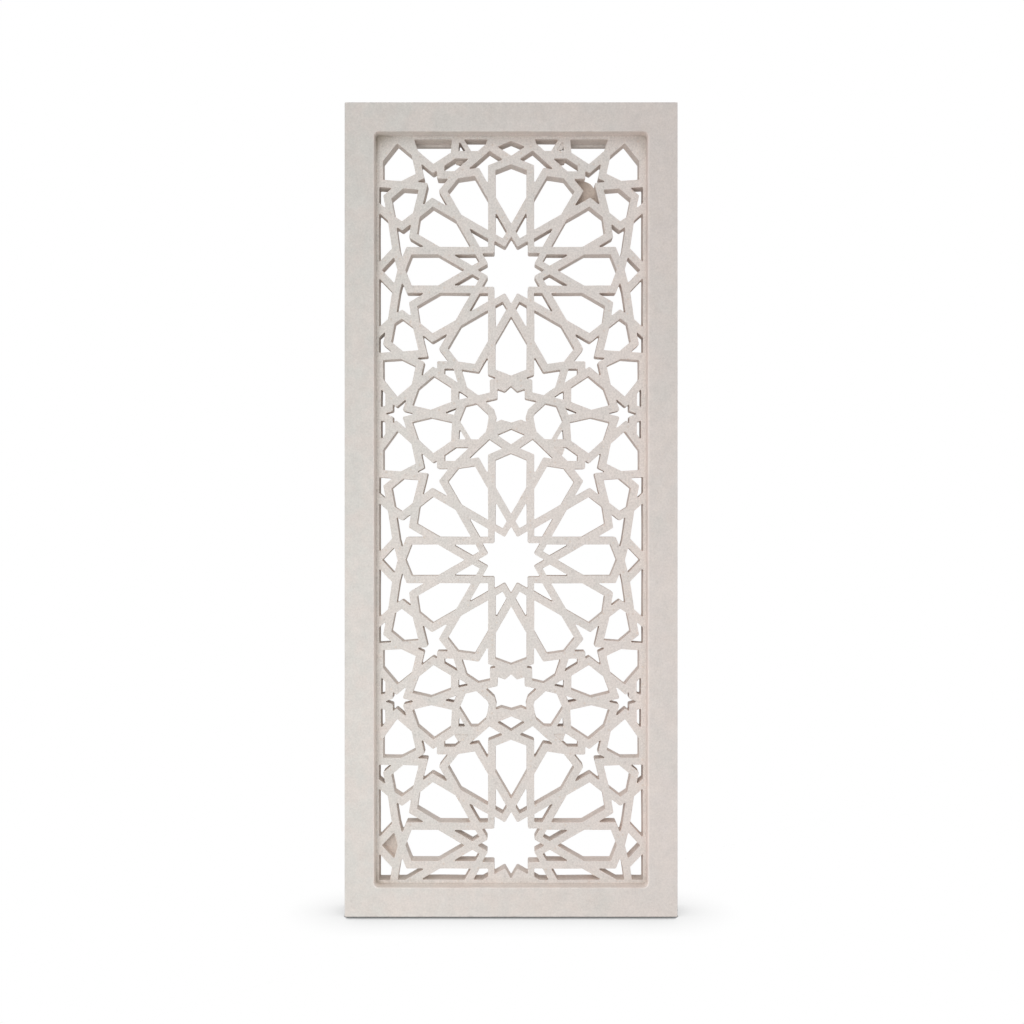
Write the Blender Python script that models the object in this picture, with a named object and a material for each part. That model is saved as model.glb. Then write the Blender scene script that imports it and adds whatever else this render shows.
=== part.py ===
"""Pierced screen panel: a framed jali block cast in one piece.

Sizes are in metres.  The panel stands on its lower edge with the origin at the
centre of its footprint: +Z is up, +X runs along the panel and the face that is
seen looks along -Y.

The lattice is a network of straps.  Their centre lines are drawn on the panel's
plane by the old girih rule (twelve lines round a centre make the rosette and
its petals) and by a few points of the field between the rosettes.  Every closed
cell of the network, drawn in by half a strap's width, is one opening.
"""
import math
from itertools import product

import bmesh
import bpy
from mathutils import Vector
from mathutils.geometry import intersect_line_line_2d

OBJECT_NAME = "screen_panel"

# The slab
PANEL_HEIGHT = 1.500
PANEL_WIDTH = 0.613
PANEL_DEPTH = 0.080
BAR_WIDTH = 0.054          # face of the frame, on all four sides
FRONT_RECESS = 0.026       # frame face to lattice face
LATTICE_DEPTH = 0.0375     # the rest of the depth is recess behind the lattice
BORDER = 0.007             # flat strip of lattice left along the frame
LATTICE_KEY = 0.012        # how far the lattice runs into the frame's bars
OUTER_CORNER = 0.0015
INNER_CORNER = 0.008
CORNER_STEPS = 4

# The rectangle inside which the lattice is pierced
PIERCED_HALF_WIDTH = PANEL_WIDTH / 2 - BAR_WIDTH - BORDER
PIERCED_BOTTOM = BAR_WIDTH + BORDER
PIERCED_TOP = PANEL_HEIGHT - BAR_WIDTH - BORDER

# The rosettes
ROSETTES = 3
ROSETTE_PERIOD = 0.5355
LOWEST_ROSETTE = 0.125     # height of its centre above the floor
POINTS = 12
STRAP = 0.014
LINE_OFFSET = 0.036        # each of the twelve lines passes this far from the centre
PETAL_SHOULDER = 0.190     # where a petal's sides end, along its axis
PETAL_TIP = 0.2042
STAR_OPENING = 1.076       # the rosette's middle star, against the one that the straps leave

# The field beside a rosette, from its centre: (outward, upward)
CHEVRON = (0.145, 0.1885)          # point of the V over the five-pointed star
SIDE_CHEVRON = (0.213, 0.246)      # point of the V at the six-pointed star
SIDE_CHEVRON_END_Z = 0.199         # where that V's outer arm runs into the frame
CHEVRON_CROSSING_X = 0.179
MULLION_X = 0.105                  # upright strap between two rosettes
MULLION_END_Z = 0.2145
MULLION_LEAN = 0.0025              # how far the mullion leans in at its waist
SPEAR = (0.203, 0.082)             # point of the small V beside a petal
SPEAR_RISE = 0.025                 # how far its outer arm rises on the way to the frame
FLANK_LOW = (0.214, 0.038)
FLANK_HIGH = (0.2225, 0.095)
CHEEK = (0.2305, 0.136)
LEDGE_START = (0.1635, 0.1555)
LEDGE_KNEE = (0.2035, 0.1585)
LEDGE_RISE = 0.003
STAR_SHOULDER = (0.1695, 0.175)
WAIST_CORNER = (0.193, 0.257)
SIDE_STAR_CORNER = (0.227, 0.2576)
SIDE_STAR_RISE = 0.0075            # slope of the side star's arms, up to the frame
BOW_X = 0.149                      # crossing half-way between two rosettes
STUB_X = 0.131                     # upright that ties the star's last point to the V
FLANK_AXIS_X = 0.250               # where the flanks of two cells meet in the frame
EDGE_STRIP_X = 0.2435              # thin upright along the frame

# The field between two rosettes, from the upper one: (outward, downward)
BOW_ARM = (0.105, 0.2505)
RING_CORNER = (0.0325, 0.2335)     # ring of straps round the eight-pointed star
RING_SHOULDER = (0.0325, 0.210)
RING_NOTCH = (0.0135, 0.2165)
RING_SIDE = ((0.0375, 0.2635), (0.0345, 0.2735), (0.038, 0.295))
RING_FOOT = (0.0135, 0.284)
RING_BRIDGE_Z = 0.288
SHIELD_TOP_X = 0.0625
SHIELD_SIDE_X = 0.090
SHIELD_ARM_X = 0.075
HEEL = (0.0885, 0.222)
WAIST_DROP = 0.010
LOZENGE_POINT = (0.041, 0.2305)    # from the lower rosette

RING_STRAP = 0.017
BRIDGE_STRAP = 0.0075
SHIELD_STRAP = 0.0085
EDGE_STRAP = 0.0105
SLIM_EDGE_STRAP = 0.003

# How the cast pattern differs from the drawn one
MIDDLE_DROP = 0.0045       # the middle rosette sits this much low
DROP_KEEPS = 0.16          # over this height above and below its centre
DROP_ENDS = 0.25
SHOULDER_DROP = 0.0050     # the field's outer ends above the lowest rosette sit low too
SHOULDER_Z = 0.305
SHOULDER_REACH = 0.090
SHOULDER_STEEPNESS = 4     # power of the distance from the panel's upright axis
EDGE_FADE = 0.020          # nothing moves off the border's lines, and little this close to them

# Fixing nibs behind the wide openings at the head, under the bar
NIB_INNER = 0.109
NIB_OUTER = 0.187
NIB_BOTTOM = 1.435
NIB_KEY = 0.006            # how far a nib runs into the bar

SMALLEST_CELL = 40e-6      # a cell with a smaller opening is left solid, in m2
SHORTEST_SIDE = 0.0006
SNAP = 0.0002              # crossings closer than this are one crossing
SAME_HEADING = 0.02        # in radians
TINY = 1e-9
WELD = 0.0001

STONE_COLOUR = (0.62, 0.56, 0.50, 1.0)
STONE_ROUGHNESS = 0.86


# ---------------------------------------------------------------- strap network
def polar(radius, degrees):
    angle = math.radians(degrees)
    return Vector((radius * math.cos(angle), radius * math.sin(angle)))


def point_at_x(a, b, x):
    """The point of the line through a and b that lies at x."""
    a, b = Vector(a), Vector(b)
    return a.lerp(b, (x - a.x) / (b.x - a.x))


def point_at_z(a, b, z):
    """The point of the line through a and b that lies at z."""
    a, b = Vector(a), Vector(b)
    return a.lerp(b, (z - a.y) / (b.y - a.y))


def run(*points, width=STRAP):
    """Straps that follow the points, as (start, end, width)."""
    points = [Vector(point) for point in points]
    return [(a, b, width) for a, b in zip(points, points[1:])]


def rosette_centre(row):
    """The centre of a rosette, counted from the lowest one."""
    return Vector((0, LOWEST_ROSETTE + row * ROSETTE_PERIOD))


def rosette_straps():
    """Each petal's two sides, from the inner star to the shoulder, and its blunt tip."""
    straps = []
    for k in range(POINTS):
        turn = math.radians(360.0 / POINTS * k)
        c, s = math.cos(turn), math.sin(turn)
        for side in (1, -1):
            petal = (
                (LINE_OFFSET, side * LINE_OFFSET),
                (PETAL_SHOULDER, side * LINE_OFFSET),
                (PETAL_TIP, 0.0),
            )
            straps += run(*[(c * x - s * y, s * x + c * y) for x, y in petal])
    return straps


def side_field():
    """Straps beside a rosette, for x > 0 and z > 0; the other quarters mirror them."""
    half = ROSETTE_PERIOD / 2
    frame_x = FLANK_AXIS_X
    crossing = point_at_x(CHEVRON, SIDE_CHEVRON, CHEVRON_CROSSING_X)
    petal_30, petal_60 = polar(PETAL_TIP, 30), polar(PETAL_TIP, 60)
    mullion_end = (MULLION_X, MULLION_END_Z)
    stub_top = point_at_x(CHEVRON, mullion_end, STUB_X)
    side_arm_end = (frame_x, SIDE_CHEVRON_END_Z)
    star_strap_top = point_at_x(SIDE_CHEVRON, side_arm_end, SIDE_STAR_CORNER[0])
    strip_middle = point_at_x(SIDE_CHEVRON, side_arm_end, EDGE_STRIP_X)
    straps = run(
        (PETAL_TIP, 0), FLANK_LOW, FLANK_HIGH, CHEEK, LEDGE_KNEE, STAR_SHOULDER,
        crossing, WAIST_CORNER, (BOW_X, half),
    )
    straps += run(FLANK_LOW, (frame_x, 0))
    straps += run(petal_30, SPEAR, FLANK_HIGH, (frame_x, FLANK_HIGH[1] + SPEAR_RISE))
    straps += run(petal_30, LEDGE_START, LEDGE_KNEE, (frame_x, LEDGE_KNEE[1] + LEDGE_RISE))
    straps += run(CHEVRON, SIDE_CHEVRON, side_arm_end)
    straps += run(CHEVRON, mullion_end)
    straps += run(petal_60, (STUB_X, petal_60.y), stub_top)
    star_arm_end = (frame_x, SIDE_STAR_CORNER[1] + SIDE_STAR_RISE)
    straps += run(star_strap_top, SIDE_STAR_CORNER, star_arm_end)
    straps += run((EDGE_STRIP_X, LEDGE_KNEE[1]), strip_middle, width=EDGE_STRAP)
    straps += run(strip_middle, (EDGE_STRIP_X, half), width=SLIM_EDGE_STRAP)
    return straps


def field_between():
    """Straps from a rosette down to the next, for x > 0, with z measured downward."""
    half = ROSETTE_PERIOD / 2
    petal_60, petal_90 = polar(PETAL_TIP, 60), polar(PETAL_TIP, 90)
    lower_60 = (petal_60.x, ROSETTE_PERIOD - petal_60.y)
    lower_90 = (0, ROSETTE_PERIOD - PETAL_TIP)
    bow = (BOW_X, half)
    mullion_top = (MULLION_X, MULLION_END_Z)
    mullion_foot = (MULLION_X, ROSETTE_PERIOD - MULLION_END_Z)
    waist = (MULLION_X - MULLION_LEAN, half + WAIST_DROP)
    shield_top = point_at_x(BOW_ARM, RING_CORNER, SHIELD_TOP_X)
    shield_side = point_at_x(BOW_ARM, RING_CORNER, SHIELD_SIDE_X)
    lozenge = (LOZENGE_POINT[0], ROSETTE_PERIOD - LOZENGE_POINT[1])
    shield_foot = (SHIELD_ARM_X, mullion_foot[1])
    arm_end = point_at_z(lozenge, lower_60, mullion_foot[1])
    bridge = (0, RING_BRIDGE_Z)

    straps = run(petal_60, HEEL)
    straps += run(mullion_top, HEEL, shield_top, *RING_SIDE, lozenge)
    straps += run(mullion_top, BOW_ARM)
    straps += run(bow, BOW_ARM, shield_side, shield_top, RING_CORNER, RING_SHOULDER)
    straps += run(bow, waist, mullion_foot, shield_foot, arm_end)
    straps += run(shield_side, waist)
    straps += run(waist, shield_foot, width=SHIELD_STRAP)
    straps += run(RING_SHOULDER, petal_90)
    straps += run(RING_SHOULDER, RING_NOTCH, petal_90, width=RING_STRAP)
    straps += run(RING_SIDE[-1], RING_FOOT)
    straps += run(RING_FOOT, bridge, width=BRIDGE_STRAP)
    straps += run(lower_60, lozenge)
    straps += run(lower_90, lozenge, bridge)
    return straps


def mirrored(straps, across, upright):
    """The straps times the given signs along and up the panel."""
    signs = Vector((across, upright))
    return [(a * signs, b * signs, width) for a, b, width in straps]


def panel_straps():
    """The whole pattern, one tile further than the panel at the head and at the foot."""
    tile = rosette_straps()
    for across in (1, -1):
        tile += mirrored(side_field(), across, 1)
        tile += mirrored(side_field(), across, -1)
        tile += mirrored(field_between(), across, -1)
    straps = []
    for row in range(-1, ROSETTES + 1):
        centre = rosette_centre(row)
        straps += [(centre + a, centre + b, width) for a, b, width in tile]
    return straps


# ------------------------------------------------------------- cells of the net
def clipped(strap):
    """The stretch of a strap inside the pierced rectangle, or None."""
    a, b, width = strap
    step = b - a
    start, end = 0.0, 1.0
    for slope, room in (
        (-step.x, PIERCED_HALF_WIDTH + a.x), (step.x, PIERCED_HALF_WIDTH - a.x),
        (-step.y, a.y - PIERCED_BOTTOM), (step.y, PIERCED_TOP - a.y),
    ):
        if abs(slope) < TINY:
            if room < 0:
                return None
        elif slope < 0:
            start = max(start, room / slope)
        else:
            end = min(end, room / slope)
    if end - start < TINY:
        return None
    return a + step * start, a + step * end, width


def border_lines():
    """The four sides of the pierced rectangle, which have no half strap inside them."""
    x = PIERCED_HALF_WIDTH
    corners = [
        Vector(corner) for corner in (
            (-x, PIERCED_BOTTOM), (x, PIERCED_BOTTOM), (x, PIERCED_TOP), (-x, PIERCED_TOP)
        )
    ]
    return [(a, b, 0.0) for a, b in zip(corners, corners[1:] + corners[:1])]


def apart(a, b, c, d):
    """Whether the ranges a to b and c to d leave a gap between them."""
    return max(a, b) + SNAP < min(c, d) or max(c, d) + SNAP < min(a, b)


def touches(point, a, b):
    """Whether a point lies on the stretch from a to b."""
    along = (point - a).dot(b - a) / (b - a).length_squared
    return (a.lerp(b, min(1.0, max(0.0, along))) - point).length < SNAP


def meeting(first, second):
    """Where two straps meet or cross, or None."""
    a, b, _ = first
    c, d, _ = second
    if apart(a.x, b.x, c.x, d.x) or apart(a.y, b.y, c.y, d.y):
        return None
    for end in (c, d):
        if touches(end, a, b):
            return end
    for end in (a, b):
        if touches(end, c, d):
            return end
    return intersect_line_line_2d(a, b, c, d)


class Network:
    """Crossings of the straps, and the width of each piece of strap between two of them."""

    def __init__(self, straps):
        self.points = []
        self.numbers = {}
        self.widths = {}
        crossings = [[a, b] for a, b, _ in straps]
        for i, first in enumerate(straps):
            for j in range(i + 1, len(straps)):
                point = meeting(first, straps[j])
                if point is not None:
                    crossings[i].append(point)
                    crossings[j].append(point)
        for (a, b, width), found in zip(straps, crossings):
            found.sort(key=lambda point: (point - a).dot(b - a))
            numbers = [self.number(point) for point in found]
            for k, m in zip(numbers, numbers[1:]):
                if k != m:
                    pair = frozenset((k, m))
                    self.widths[pair] = min(width, self.widths.get(pair, width))
        self.prune()

    def number(self, point):
        """A crossing's number, the same one for points within SNAP of each other."""
        column, row = round(point.x / SNAP), round(point.y / SNAP)
        for neighbour in product((column - 1, column, column + 1), (row - 1, row, row + 1)):
            if neighbour in self.numbers:
                return self.numbers[neighbour]
        self.numbers[(column, row)] = len(self.points)
        self.points.append(point)
        return len(self.points) - 1

    def neighbours(self):
        """For each crossing, the crossings that a strap joins it to."""
        around = {}
        for a, b in self.widths:
            around.setdefault(a, []).append(b)
            around.setdefault(b, []).append(a)
        return around

    def prune(self):
        """Drops straps that end in the open, until none is left."""
        loose = True
        while loose:
            around = self.neighbours()
            loose = [pair for pair in self.widths if any(len(around[end]) == 1 for end in pair)]
            for pair in loose:
                del self.widths[pair]

    def heading(self, a, b):
        step = self.points[b] - self.points[a]
        return math.atan2(step.y, step.x)

    def cells(self):
        """Each cell that straps close off, as crossings in anticlockwise order."""
        around = self.neighbours()
        for a, ring in around.items():
            ring.sort(key=lambda b: self.heading(a, b))
        walked = set()
        cells = []
        for here, there in [(a, b) for a, ring in around.items() for b in ring]:
            loop = []
            while (here, there) not in walked:
                walked.add((here, there))
                loop.append(here)
                onward = around[there]
                here, there = there, onward[onward.index(here) - 1]
            if loop and signed_area([self.points[k] for k in loop]) > 0:
                cells.append(loop)
        return cells

    def sides(self, loop):
        """A cell's sides moved in by half the strap each one runs along, as (point, direction)."""
        sides = []
        for k, m in zip(loop, loop[1:] + loop[:1]):
            along = (self.points[m] - self.points[k]).normalized()
            inward = Vector((-along.y, along.x))
            half_width = self.widths[frozenset((k, m))] / 2
            sides.append((self.points[k] + inward * half_width, along))
        return sides


def signed_area(points):
    return sum(a.cross(b) for a, b in zip(points, points[1:] + points[:1])) / 2


def in_line(first, second):
    """Whether two sides lie on one line and run the same way."""
    (a, u), (b, v) = first, second
    return u.dot(v) > 0 and abs(u.cross(v)) < SAME_HEADING and abs((b - a).cross(v)) < SNAP


def corner(first, second):
    """Where the lines of two sides cross, or the second's start where they are parallel."""
    (a, u), (b, v) = first, second
    turn = u.cross(v)
    if abs(turn) < TINY:
        return b
    return a + u * ((b - a).cross(v) / turn)


def outline_of(sides):
    """Corners of an opening; a side that its neighbours swallow is left out."""
    sides = [side for k, side in enumerate(sides) if not in_line(sides[k - 1], side)]
    while len(sides) >= 3:
        corners = [corner(sides[k - 1], side) for k, side in enumerate(sides)]
        lengths = [
            (end - start).dot(along)
            for start, end, (_, along) in zip(corners, corners[1:] + corners[:1], sides)
        ]
        shortest = lengths.index(min(lengths))
        if lengths[shortest] > SHORTEST_SIDE:
            return corners
        sides.pop(shortest)
    return []


def in_head_corner(outline):
    """Whether a cell lies in one of the frame's upper corners, which are left solid."""
    at_head = any(point.y > PIERCED_TOP - SNAP for point in outline)
    at_side = any(abs(point.x) > PIERCED_HALF_WIDTH - BORDER for point in outline)
    return at_head and at_side


def opened(outline):
    """The star in a rosette's middle is cut wider than the straps round it leave it."""
    middle = sum(outline, Vector((0, 0))) / max(1, len(outline))
    if any((middle - rosette_centre(row)).length < SNAP for row in range(ROSETTES)):
        return [middle + (point - middle) * STAR_OPENING for point in outline]
    return outline


def eased(distance, near, far):
    """1 up to near and 0 from far on, with a smooth slope between them."""
    share = min(1.0, max(0.0, (far - abs(distance)) / (far - near)))
    return share * share * (3 - 2 * share)


def as_cast(point):
    """Where a corner of the drawn pattern lies in the cast panel."""
    middle = rosette_centre(ROSETTES // 2)
    drop = MIDDLE_DROP * eased(point.y - middle.y, DROP_KEEPS, DROP_ENDS)
    outward = (point.x / PIERCED_HALF_WIDTH) ** SHOULDER_STEEPNESS
    drop += SHOULDER_DROP * outward * eased(point.y - SHOULDER_Z, 0, SHOULDER_REACH)
    from_edge = min(point.y - PIERCED_BOTTOM, PIERCED_TOP - point.y)
    return Vector((point.x, point.y - drop * (1 - eased(from_edge, 0, EDGE_FADE))))


def openings():
    """Outlines of all openings in the lattice, as (x, z) corners."""
    network = Network([part for part in map(clipped, panel_straps()) if part] + border_lines())
    outlines = [opened(outline_of(network.sides(loop))) for loop in network.cells()]
    return [
        [as_cast(point) for point in outline] for outline in outlines
        if outline and signed_area(outline) > SMALLEST_CELL and not in_head_corner(outline)
    ]


# ------------------------------------------------------------------ the solids
def rounded_rectangle(left, bottom, right, top, radius):
    """Corners of a rectangle with a quarter circle at each corner."""
    centres = (
        (right - radius, bottom + radius, -90), (right - radius, top - radius, 0),
        (left + radius, top - radius, 90), (left + radius, bottom + radius, 180),
    )
    return [
        Vector((x, z)) + polar(radius, start + 90 * step / CORNER_STEPS)
        for x, z, start in centres
        for step in range(CORNER_STEPS + 1)
    ]


def weld(mesh):
    """Joins the caps of a plate to its walls and evens out their thin triangles."""
    solid = bmesh.new()
    solid.from_mesh(mesh)
    bmesh.ops.remove_doubles(solid, verts=solid.verts, dist=WELD)
    caps = [
        face for face in solid.faces
        if max(v.co.z for v in face.verts) - min(v.co.z for v in face.verts) < WELD
    ]
    within = [edge for edge in solid.edges if set(edge.link_faces) <= set(caps)]
    bmesh.ops.beautify_fill(solid, faces=caps, edges=within)
    bmesh.ops.recalc_face_normals(solid, faces=solid.faces)
    solid.to_mesh(mesh)
    solid.free()


def plate(name, outlines, front, back, collection):
    """A flat plate between two depths, from closed outlines in the panel's plane."""
    curve = bpy.data.curves.new(name, "CURVE")
    curve.dimensions = "2D"
    curve.fill_mode = "BOTH"
    curve.extrude = (back - front) / 2
    for outline in outlines:
        spline = curve.splines.new("POLY")
        spline.points.add(len(outline) - 1)
        for control, point in zip(spline.points, outline):
            control.co = (point.x, point.y, 0, 1)
        spline.use_cyclic_u = True
    drawn = bpy.data.objects.new(name + "_outline", curve)
    drawn.rotation_euler = (math.radians(90), 0, 0)
    drawn.location = (0, (front + back) / 2, 0)
    collection.objects.link(drawn)
    bpy.context.view_layer.update()

    evaluated = drawn.evaluated_get(bpy.context.evaluated_depsgraph_get())
    mesh = bpy.data.meshes.new_from_object(evaluated)
    weld(mesh)
    solid = bpy.data.objects.new(name, mesh)
    solid.matrix_world = drawn.matrix_world.copy()
    collection.objects.link(solid)
    bpy.data.objects.remove(drawn)
    return solid


def join(panel, piece):
    """Makes a piece one solid with the panel."""
    piece.hide_render = True
    piece.display_type = "WIRE"
    union = panel.modifiers.new(piece.name, "BOOLEAN")
    union.operation = "UNION"
    union.solver = "EXACT"
    union.object = piece


def stone():
    material = bpy.data.materials.new("cast_stone")
    material.use_nodes = True
    shader = material.node_tree.nodes["Principled BSDF"]
    shader.inputs["Base Color"].default_value = STONE_COLOUR
    shader.inputs["Roughness"].default_value = STONE_ROUGHNESS
    shader.inputs["Metallic"].default_value = 0.0
    return material


def new_collection(name):
    collection = bpy.data.collections.new(name)
    bpy.context.scene.collection.children.link(collection)
    return collection


def build():
    for obj in list(bpy.data.objects):
        bpy.data.objects.remove(obj)
    parts = new_collection(OBJECT_NAME)
    cutters = new_collection("cutters")

    half = PANEL_WIDTH / 2
    inner = half - BAR_WIDTH
    front, back = -PANEL_DEPTH / 2, PANEL_DEPTH / 2
    outside = rounded_rectangle(-half, 0, half, PANEL_HEIGHT, OUTER_CORNER)
    inside = rounded_rectangle(
        -inner, BAR_WIDTH, inner, PANEL_HEIGHT - BAR_WIDTH, INNER_CORNER
    )
    panel = plate(OBJECT_NAME, [outside, inside], front, back, parts)

    key = inner + LATTICE_KEY
    rim = rounded_rectangle(
        -key, BAR_WIDTH - LATTICE_KEY, key, PANEL_HEIGHT - BAR_WIDTH + LATTICE_KEY, INNER_CORNER
    )
    lattice_front = front + FRONT_RECESS
    lattice_back = lattice_front + LATTICE_DEPTH
    join(panel, plate("lattice", [rim] + openings(), lattice_front, lattice_back, cutters))

    bar = PANEL_HEIGHT - BAR_WIDTH
    for name, left in (("left_nib", -NIB_OUTER), ("right_nib", NIB_INNER)):
        right = left + NIB_OUTER - NIB_INNER
        nib = [Vector(corner) for corner in (
            (left, NIB_BOTTOM), (right, NIB_BOTTOM), (right, bar + NIB_KEY), (left, bar + NIB_KEY)
        )]
        join(panel, plate(name, [nib], lattice_back, back, cutters))
    panel.data.materials.append(stone())
    return panel


build()
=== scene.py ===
"""A pierced screen panel of cast stone, standing in a plain studio.

The CAD model gives the outlines of the frame, of its recesses and of every opening. A moulded
profile is carried along each outline and the flat faces are closed between them. Thin skins of
cement are left in a few openings, and the stone gets its colour, stains and grain, with painted
light and shade on its walls, arrises and recess. Lengths are in metres; x is to the right, z is
up and -y is the front.
"""
import math

import bpy
import numpy as np
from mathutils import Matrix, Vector
from mathutils.geometry import delaunay_2d_cdt


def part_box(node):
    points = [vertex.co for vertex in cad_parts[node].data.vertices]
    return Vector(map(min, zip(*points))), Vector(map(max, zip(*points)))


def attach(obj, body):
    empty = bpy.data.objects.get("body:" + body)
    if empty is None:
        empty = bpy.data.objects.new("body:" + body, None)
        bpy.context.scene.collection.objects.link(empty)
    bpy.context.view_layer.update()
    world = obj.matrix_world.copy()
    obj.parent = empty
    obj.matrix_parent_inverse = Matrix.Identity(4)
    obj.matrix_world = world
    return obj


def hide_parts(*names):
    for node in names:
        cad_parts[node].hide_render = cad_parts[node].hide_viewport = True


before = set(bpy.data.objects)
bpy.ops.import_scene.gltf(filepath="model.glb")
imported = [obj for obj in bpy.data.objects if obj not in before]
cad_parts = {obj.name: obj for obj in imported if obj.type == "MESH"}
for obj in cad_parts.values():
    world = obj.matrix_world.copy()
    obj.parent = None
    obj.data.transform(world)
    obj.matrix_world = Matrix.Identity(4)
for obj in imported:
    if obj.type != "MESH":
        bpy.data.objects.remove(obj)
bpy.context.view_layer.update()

PANEL_LOW, PANEL_HIGH = (np.array(corner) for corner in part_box("screen_panel"))
PANEL_SIZE = PANEL_HIGH - PANEL_LOW
BAR_WIDTH = 0.054  # of the frame, seen from the front

# Corners of the outlines, as seen from the front
KNEE_RADIUS = 0.003  # where the stone sticks out: a bend of a strap
NOOK_RADIUS = 0.0014  # where two straps meet in the corner of an opening
FRAME_CORNER_RADIUS = 0.0015
RECESS_CORNER_RADIUS = 0.008
SIDE_SHARE = 0.46  # the most of a side that one corner's arc may take
ARC_STEP = math.radians(18)
STRAIGHT_STEP = 0.010

# Edges, as cut across
STRAP_ARRIS = 0.0009
BACK_ARRIS = 0.0012
FRAME_ARRIS = 0.0010
RECESS_ARRIS = 0.0022
RECESS_FILLET = 0.0020
RECESS_LEAN = math.radians(4)  # of the recess's wall, from straight back
ARRIS_STEPS = 3
BACK_STEPS = 2

# The casting's unevenness: waves of these lengths move the openings' edges by up to these amounts
WAVES = ((0.190, 0.00030), (0.071, 0.00016), (0.023, 0.00007))
WAVE_HEADING = 0.7
TURN_PER_WAVE = 2.4
TURN_PER_AXIS = 1.9
CROSS_STRETCH = 1.7

# Nibs behind the head bar
NIB_REACH = 0.03  # no further than this below the head
NIB_KEY = 0.006  # how far a nib runs into the bar
NIB_START = 0.001  # in front of the lattice's back
NIB_SHORT = 0.0005  # of the frame's back
NIB_CORNER_RADIUS = 0.004
NIB_ARRIS = 0.002

# Skins of cement left in some openings. A skin is the part of an opening that lies in a disc: a
# place in the opening, the disc's centre and radius, how far behind the lattice's face the skin
# is, and how brown it is.
SKINS = (
    ((0.141, 1.338), (0.125, 1.333), 0.0370, 0.0250, 1.0),
    ((-0.225, 0.124), (-0.225, 0.124), 0.0300, 0.0230, 0.4),
    ((-0.097, 1.399), (-0.097, 1.404), 0.0085, 0.0200, 0.5),
    ((0.100, 1.397), (0.092, 1.404), 0.0085, 0.0200, 0.5),
    ((0.093, 1.424), (0.0865, 1.428), 0.0105, 0.0020, 0.1),
    ((0.097, 0.862), (0.086, 0.861), 0.0120, 0.0010, 0.1),
    ((-0.097, 0.326), (-0.090, 0.330), 0.0140, 0.0020, 0.1),
    ((0.097, 0.326), (0.084, 0.330), 0.0150, 0.0020, 0.1),
)
SKIN_THICKNESS = 0.006
SKIN_SPREAD = 1.10  # its outline against the opening's, so that it runs into the straps
SKIN_SIDE = 0.0008  # its shortest side
SKIN_CORNER_RADIUS = 0.0015
SKIN_ARRIS = 0.0002
DISC_STEPS = 36
RAGGED = 0.0014  # the most that the disc's rim strays from its circle
RAGGED_LOBES = (3, 5)  # round the rim, of the two waves whose product it strays by

# The stone's colours, with its painted light and shade; a tint or a light multiplies the colour
# under it
PALE = (0.720, 0.695, 0.656, 1)
BLUSH = (0.765, 0.692, 0.646, 1)
WARM = (0.750, 0.655, 0.626, 1)
STAIN = (0.676, 0.656, 0.618, 1)
# painted light: lightens and warms the walls of the openings and of the recess
HOLLOW_PAINTED_LIGHT = (1.13, 1.095, 1.08, 1)
# painted light: lightens the upright walls of the recess still more
CHEEK_PAINTED_LIGHT = (1.24, 1.25, 1.27, 1)
BROWN_TINT = (0.85, 0.77, 0.71, 1)
SPECK = (0.66, 0.52, 0.42, 1)
# paler arrises: worn in patches, and a painted highlight
WORN_HIGHLIGHT = (0.84, 0.81, 0.77, 1)
# painted shade: the dark brown that darkens the recess's corners and the foot of its walls
PAINTED_SHADE = (0.40, 0.35, 0.29, 1)

# The size of its patches and grains, and the noise that draws them
STAIN_SIZE = 0.110
BLUSH_SIZE = 0.045
CLOUD_SIZE = 0.016
GRAIN_SIZE = 0.0034
SPECK_SIZE = 0.009
PIT_SIZE = 0.014
WEAR_SIZE = 0.016
PATCH_DETAIL = 3
PATCH_ROUGHNESS = 0.6
STAIN_RANGE = (0.42, 0.66)  # the noise at which a patch begins and at which it is full
BLUSH_RANGE = (0.40, 0.64)
GRAIN_DETAIL = 2
GRAIN_ROUGHNESS = 0.7
GRAIN_RANGE = (0.2, 0.8)
WEAR_DETAIL = 2
WEAR_RANGE = (0.40, 0.62)
SPECK_SHARE = 0.25  # of the cells that hold one
SPECK_WIDTH = 0.30  # as a share of its cell
PIT_SHARE = 0.30
PIT_WIDTH = 0.24

# How strong each is; of two values the first is for the frame and the second for the lattice
SIDE_WARMTH = 0.55
STAIN_STRENGTH = 0.5
BLUSH_STRENGTH = 0.6
WORN_HIGHLIGHT_STRENGTH = 0.5
SPECK_STRENGTH = (0.05, 0.35)
PIT_STRENGTH = (0.02, 0.10)
GRAIN_STRENGTH = (0.085, 0.170)
CLOUD_STRENGTH = (0.045, 0.025)
# painted light: the stone is brighter at the foot and darker at the head
FOOT_PAINTED_LIGHT = 1.075
HEAD_PAINTED_SHADE = (0.885, 0.945)
ROUGHNESS = (0.84, 0.96)  # in the hollows between the grains and on top of them
SPECULAR = 0.2
PIT_DEPTH = 0.0004
GRAIN_DEPTH = 0.00012

# Painted shade in the recess
RECESS_HALF_WIDTH = PANEL_SIZE[0] / 2 - BAR_WIDTH
RECESS_HALF_HEIGHT = PANEL_SIZE[2] / 2 - BAR_WIDTH
FOOT_REACH = 0.012  # of the painted shade along the wall's foot
FOOT_START = 0.7  # how far down the wall it begins
CORNER_REACH = 0.060  # of the painted shade in the recess's corners
CORNER_POWER = 1.5
CORNER_PAINTED_SHADE = (1.6, 3.0)  # in the lower corners and in the upper ones, where it is darker
SIDE_PAINTED_SHADE = (1.5, 0.7)  # on the left and on the right
PAINTED_SHADE_SIZE = 0.012
PAINTED_SHADE_RANGE = (0.3, 0.7)
PAINTED_SHADE_PATCHES = (0.6, 1.2)
PAINTED_SHADE_STRENGTH = 0.24

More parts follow.
